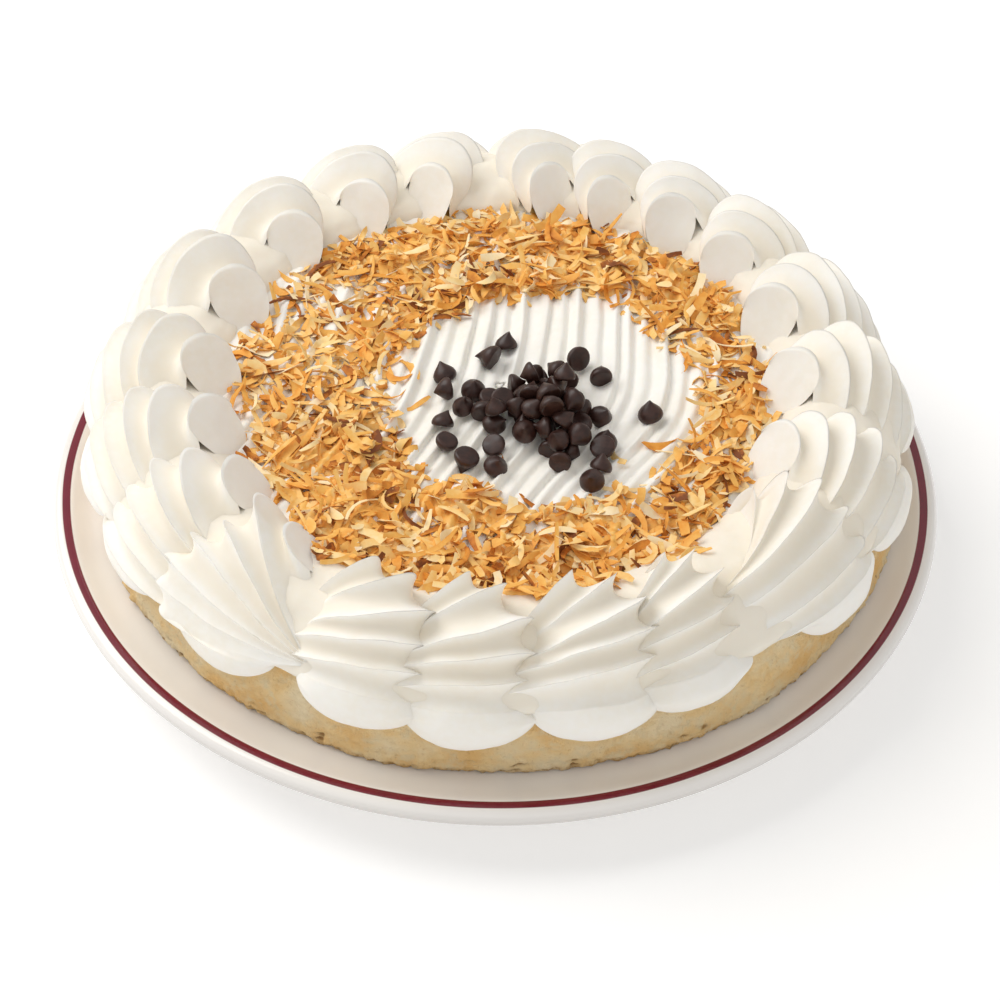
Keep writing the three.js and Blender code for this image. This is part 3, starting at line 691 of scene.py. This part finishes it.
make_shells("piped_shells_right", CHAIN_RIGHT, -1, 100)
make_shells("piped_shells_left", CHAIN_LEFT, 1, 200)


# ------------------------------------------------------------------ coconut
CLEAR = np.array([14.0, -3.0])    # middle of the bare combed cream, radius 48
STRAYS = [(-26.6, 8.8), (-24.0, -8.0), (-1.0, -28.0), (36.0, -31.0), (-31.0, -34.0), (50.0, -25.0), (12.0, 58.0), (-19.0, 40.0)]


def ring_weight(x, y):
    """How thickly the shreds lie at a point, 0 to 1."""
    rin = np.hypot(x - CLEAR[0], y - CLEAR[1])
    rout = np.hypot(x - PIE[0], y - PIE[1])
    b = np.degrees(np.arctan2(x - PIE[0], -(y - PIE[1])))
    edge = 48 + 4.5 * perlin(np.stack([x / 16, y / 16, x * 0 + 3], 1))
    reach = 87 + 12 * smooth(52, 30, np.abs(b))
    w = smooth(edge - 3, edge + 5, rin) * smooth(reach + 1, reach - 6, rout)
    patch = fbm(np.stack([x / 17, y / 17, x * 0 + 7], 1), 2)
    w = w * (0.72 + 0.95 * patch)
    thin = np.exp(-((b + 112) / 34) ** 2) * smooth(40, 60, rout)      # sparse on the left, behind
    thin2 = np.exp(-((b - 100) / 22) ** 2)
    return np.clip(w * (1 - 0.58 * thin) * (1 - 0.25 * thin2), 0, 1)


def layer_z(x, y):
    dx, dy = x - PIE[0], y - PIE[1]
    r = np.hypot(dx, dy)
    depth = mix(COMB_TOP - COMB_FLOOR, 1.0, smooth(62, 92, r))
    return mix(COMB_FLOOR, CREAM_Z - 0.8, smooth(62, 92, r)) + depth * ridge_height(dx, dy)


def make_shreds(name, seed, tries, share, long, wide, thin, spread, strays=()):
    """One kind of toasted shred, each a thin ribbon of its own, lying in the ring."""
    rng = np.random.default_rng(seed)
    a = rng.uniform(0, 2 * math.pi, tries)
    r = np.sqrt(rng.uniform(24 ** 2, 98 ** 2, tries))
    x, y = PIE[0] + r * np.cos(a), PIE[1] + r * np.sin(a)
    w = ring_weight(x, y)
    clump = smooth(-0.55, 0.25, fbm(np.stack([x / 9, y / 9, x * 0 + 21], 1), 2))
    keep = rng.uniform(0, 1, tries) < w * share * (0.45 + 0.55 * clump)
    x, y, w = (np.concatenate([q[keep], e]) for q, e in zip((x, y, w), np.array([(*p, 0.1) for p in strays]).reshape(-1, 3).T))
    m = len(x)
    length = rng.uniform(*long, m)
    width = rng.uniform(*wide, m)
    thick = rng.uniform(*thin, m)
    lift = rng.uniform(0, 1, m) ** 1.5 * (0.3 + 4.3 * w ** 1.6)
    z = layer_z(x, y) + 0.30 + lift + 7.4 * smooth(87, 99, np.hypot(x - PIE[0], y - PIE[1]))
    yaw = rng.uniform(0, 2 * math.pi, m)
    pitch = rng.normal(0, spread, m)
    twist = rng.normal(0, 0.7, m)
    roll = rng.normal(0, 0.42, m)
    curl = rng.normal(0, 0.11, m)          # bending in its own plane, per mm
    arched = rng.normal(0.008, 0.03, m)     # bending up and down, per mm
    tone = np.clip(rng.normal(0.47, 0.13, m) + 0.24 * fbm(np.stack([x / 12, y / 12, x * 0], 1), 2), 0.03, 0.97)
    tone = np.where(rng.uniform(0, 1, m) < 0.16, rng.uniform(0.0, 0.25, m), tone)
    tone = np.where(rng.uniform(0, 1, m) < 0.07, rng.uniform(0.80, 0.98, m), tone)
    seg = 6
    cross = np.array([(-1, -0.5), (1, -0.5), (1, 0.5), (-1, 0.5)])
    edge = np.array([1, 0.2, 0.2, 1])
    nc = len(cross)
    u = np.linspace(-0.5, 0.5, seg)[None, :, None]
    L, W, K, A, R, TW = (q[:, None, None] for q in (length, width, curl, arched, roll, twist))
    s = u * L
    h = K * s
    safe = np.where(np.abs(K) < 1e-3, 1.0, K)
    px = np.where(np.abs(K) < 1e-3, s, np.sin(h) / safe)
    py = np.where(np.abs(K) < 1e-3, 0 * s, (1 - np.cos(h)) / safe)
    pz = -A * s * s
    taper = 1 - rng.uniform(0.0, 0.6, m)[:, None, None] * np.abs(2 * u) ** 4
    ro = R + 2 * TW * u
    across = 0.5 * W * taper * cross[None, None, :, 0]
    upward = 0.5 * thick[:, None, None] * cross[None, None, :, 1]
    side = across * np.cos(ro) - upward * np.sin(ro)
    high = across * np.sin(ro) + upward * np.cos(ro)
    X, Y, Z = px - np.sin(h) * side, py + np.cos(h) * side, pz + high
    cp, sp = np.cos(pitch)[:, None, None], np.sin(pitch)[:, None, None]
    X, Z = X * cp - Z * sp, X * sp + Z * cp
    cy, sy = np.cos(yaw)[:, None, None], np.sin(yaw)[:, None, None]
    X, Y = X * cy - Y * sy, X * sy + Y * cy
    V = np.stack([X + x[:, None, None], Y + y[:, None, None], Z + z[:, None, None]], -1).reshape(-1, 3)
    V[:, 2] = np.maximum(V[:, 2], layer_z(V[:, 0], V[:, 1]) - 0.25)     # nothing sinks far into the cream
    tpl = grid_faces(seg, nc, wrap=True)
    starts = np.arange(m) * seg * nc
    F = (tpl[None] + starts[:, None, None]).reshape(-1, 4).tolist()
    ends = np.array([[3, 2, 1, 0], [(seg - 1) * nc + i for i in range(nc)]])
    F += (ends[None] + starts[:, None, None]).reshape(-1, 4).tolist()
    print(name, m, "triangles", 2 * len(F))
    return piece(name, V, F, COCONUT, "coconut", {"tone": np.repeat(tone, seg * nc), "edge": np.tile(edge, m * seg)},
                 flat_angle=50)


def make_coconut_core():
    """The settled bed of fine shreds under the loose ones."""
    na, nr = 420, 74
    a = np.linspace(0, 2 * math.pi, na, endpoint=False)
    r = np.linspace(24, 98, nr)[:, None]
    x = (PIE[0] + r * np.cos(a)).ravel()
    y = (PIE[1] + r * np.sin(a)).ravel()
    w = ring_weight(x, y)
    rough = np.stack([x, y, x * 0], 1)
    strands = perlin(rough / 2.6 + 3) + 0.6 * perlin(rough / 1.2 + 8)
    z = layer_z(x, y) - 2.2 + 4.3 * smooth(0.25, 0.85, w) + 0.9 * strands * smooth(0.2, 0.6, w) + 5.2 * smooth(87, 97, np.hypot(x - PIE[0], y - PIE[1]))
    v = np.stack([x, y, z], 1)
    f = grid_faces(nr, na, wrap=True)
    tone = np.clip(0.50 + 0.22 * perlin(rough / 2.1 + 1) + 0.16 * perlin(rough / 0.9 + 5), 0.1, 0.95)
    return piece("coconut_bed", v, f, COCONUT, "coconut", {"tone": tone, "edge": 0 * tone})


make_shreds("coconut_flakes", 5, 6900, 0.70, (5.0, 14.0), (1.6, 3.3), (0.22, 0.4), 0.22, STRAYS)
make_shreds("coconut_strands", 6, 4200, 0.62, (7.0, 18.0), (1.0, 1.8), (0.3, 0.5), 0.20)
make_shreds("coconut_bits", 7, 4200, 0.60, (2.0, 5.5), (1.2, 2.8), (0.2, 0.5), 0.30)
make_coconut_core()


# -------------------------------------------------------------------- chips
LOOSE = [(2.5, 20.0), (-2.4, 12.2), (-16.6, 5.2), (-16.0, -4.5), (-7.1, -2.4), (-10.6, -11.3), (-16.2, -17.8),
         (-15.0, -27.5), (-8.9, -34.4), (0.4, -36.3), (24.8, 11.6), (32.1, 4.7), (46.9, -12.4), (33.2, -24.5),
         (32.2, -29.4), (31.8, -35.9), (28.7, -43.4)]


def chip_mesh(rng, size):
    rows = [(0.0, 0.0), (0.80, 0.0), (0.94, 0.04), (1.0, 0.16), (1.0, 0.34), (0.93, 0.55), (0.76, 0.80), (0.55, 1.02), (0.36, 1.20),
            (0.20, 1.36), (0.09, 1.47), (0.0, 1.52)]
    n = 22
    a = np.linspace(0, 2 * math.pi, n, endpoint=False)
    R = 3.75 * size
    tip = rng.normal(0, 0.28, 2)
    P = [[0, 0, 0]]
    for r, h in rows[1:-1]:
        k = max(0.0, h - 0.8) ** 1.5
        for t in a:
            P.append([R * (r * math.cos(t) + tip[0] * k * 1.6), R * (r * math.sin(t) * rng.uniform(0.995, 1.005) + tip[1] * k * 1.6), R * h])
    k = 0.72 ** 1.5
    P.append([R * tip[0] * k * 1.7, R * tip[1] * k * 1.7, R * rows[-1][1]])
    P = np.array(P)
    P[:, 2] -= 0.5 * R
    m = len(rows) - 2
    F = []
    for i in range(n):
        j = (i + 1) % n
        F.append((0, 1 + j, 1 + i))
        for q in range(m - 1):
            F.append((1 + q * n + i, 1 + q * n + j, 1 + (q + 1) * n + j, 1 + (q + 1) * n + i))
        F.append((1 + (m - 1) * n + i, 1 + (m - 1) * n + j, len(P) - 1))
    P += 0.12 * vec_noise(P + rng.uniform(0, 99, 3), 2.5)
    return P, F


def turn_to(axis, spin):
    z = Vector(axis).normalized()
    q = Vector((0, 0, 1)).rotation_difference(z)
    return np.array((q.to_matrix() @ Matrix.Rotation(spin, 3, "Z")))


def make_chips():
    rng = np.random.default_rng(21)
    spots = []
    ground = lambda x, y: float(layer_z(np.array([x]), np.array([y]))[0])
    for x, y in LOOSE:
        spots.append((x, y, ground(x, y)))
    balls = [(x, y, z + 3.0) for x, y, z in spots]
    heap = np.array([14.7, -15.0])
    out = [(p, None) for p in balls]
    for k in range(46):
        want = heap + rng.normal(0, 1, 2) * np.array([8.4, 8.8])
        best = None
        for _ in range(60):
            c = want + rng.normal(0, 2.2, 2)
            z = ground(*c) + 3.0
            for bx, by, bz in balls:
                d2 = (bx - c[0]) ** 2 + (by - c[1]) ** 2
                if d2 < 6.2 ** 2:
                    z = max(z, bz + math.sqrt(6.2 ** 2 - d2) * 0.92)
            cost = z + 0.10 * np.hypot(*(c - want))
            if best is None or cost < best[0]:
                best = (cost, (c[0], c[1], z))
        if best[1][2] > COMB_TOP + 14.5:
            continue
        balls.append(best[1])
    V, F, n = [], [], 0
    for i, (x, y, z) in enumerate(balls):
        P, f = chip_mesh(rng, rng.uniform(0.90, 1.06))
        kind = rng.uniform()
        if kind < 0.34:
            axis = (rng.normal(0, 0.35), rng.normal(0, 0.35), 1)
        elif kind < 0.72:
            t = rng.uniform(0, 2 * math.pi)
            axis = (math.cos(t), math.sin(t), rng.uniform(-0.5, 0.25))
        else:
            axis = (rng.normal(0, 0.5), rng.normal(0.35, 0.4), -1)
        M = turn_to(axis, rng.uniform(0, 6.28))
        Q = P @ M.T
        if i < len(LOOSE):
            low = Q[:, 2].min()
            Q[:, 2] += ground(x, y) - 0.4 - low
        else:
            Q[:, 2] += z - 0.2
        Q[:, 0] += x
        Q[:, 1] += y
        V.append(Q)
        F += [tuple(q + n for q in face) for face in f]
        n += len(Q)
    print("chips", len(balls))
    return piece("chocolate_drops", np.vstack(V), F, CHOCOLATE, "chips", flat_angle=62)


make_chips()


# -------------------------------------------------- floor, lights and camera
def make_stage():
    bpy.ops.mesh.primitive_plane_add(size=8.0, location=(0, 0, -0.0002))
    floor = bpy.context.object
    floor.name = "floor"
    k = Nodes("floor_white")
    k.put(k.bsdf.inputs["Base Color"], (0.93, 0.93, 0.93, 1))
    k.set(Roughness=0.9, Specular_IOR_Level=0.1)
    k.bsdf.inputs["Emission Color"].default_value = (1, 1, 1, 1)
    k.bsdf.inputs["Emission Strength"].default_value = 0.22
    floor.data.materials.append(k.m)

    world = bpy.data.worlds.new("studio")
    bpy.context.scene.world = world
    world.use_nodes = True
    world.node_tree.nodes["Background"].inputs[0].default_value = (1.0, 0.985, 0.96, 1)
    world.node_tree.nodes["Background"].inputs[1].default_value = 0.62

    def area(name, place, size, power, colour, aim=(0, 0, 0.04)):
        light = bpy.data.lights.new(name, "AREA")
        light.shape = "DISK"
        light.size = size
        light.energy = power
        light.color = colour
        o = bpy.data.objects.new(name, light)
        bpy.context.scene.collection.objects.link(o)
        o.location = place
        o.rotation_euler = (Vector(aim) - Vector(place)).to_track_quat("-Z", "Y").to_euler()

    area("key", (-0.92, 0.48, 1.15), 1.35, 14.2, (1.0, 0.985, 0.965))
    area("fill", (0.3, -1.2, 1.0), 1.2, 1.0, (1.0, 0.99, 0.98))


def make_camera():
    cam = bpy.data.cameras.new("camera")
    cam.lens = 92.98
    cam.sensor_width = 36.0
    cam.clip_start, cam.clip_end = 0.05, 20
    eye = Vector((1.56, -597.4, 569.4 + LINE_Z)) * MM
    aim = Vector((1.56, -12.89, LINE_Z)) * MM
    fwd = (aim - eye).normalized()
    right = fwd.cross(Vector((0, 0, 1))).normalized()
    up = right.cross(fwd)
    c, s = math.cos(rad(1.045)), math.sin(rad(1.045))
    r2, u2 = right * c + up * s, up * c - right * s
    o = bpy.data.objects.new("camera", cam)
    o.matrix_world = Matrix(((r2.x, u2.x, -fwd.x, eye.x), (r2.y, u2.y, -fwd.y, eye.y), (r2.z, u2.z, -fwd.z, eye.z), (0, 0, 0, 1)))
    bpy.context.scene.collection.objects.link(o)
    bpy.context.scene.camera = o


make_stage()
make_camera()
bpy.context.scene.view_settings.view_transform = "Standard"
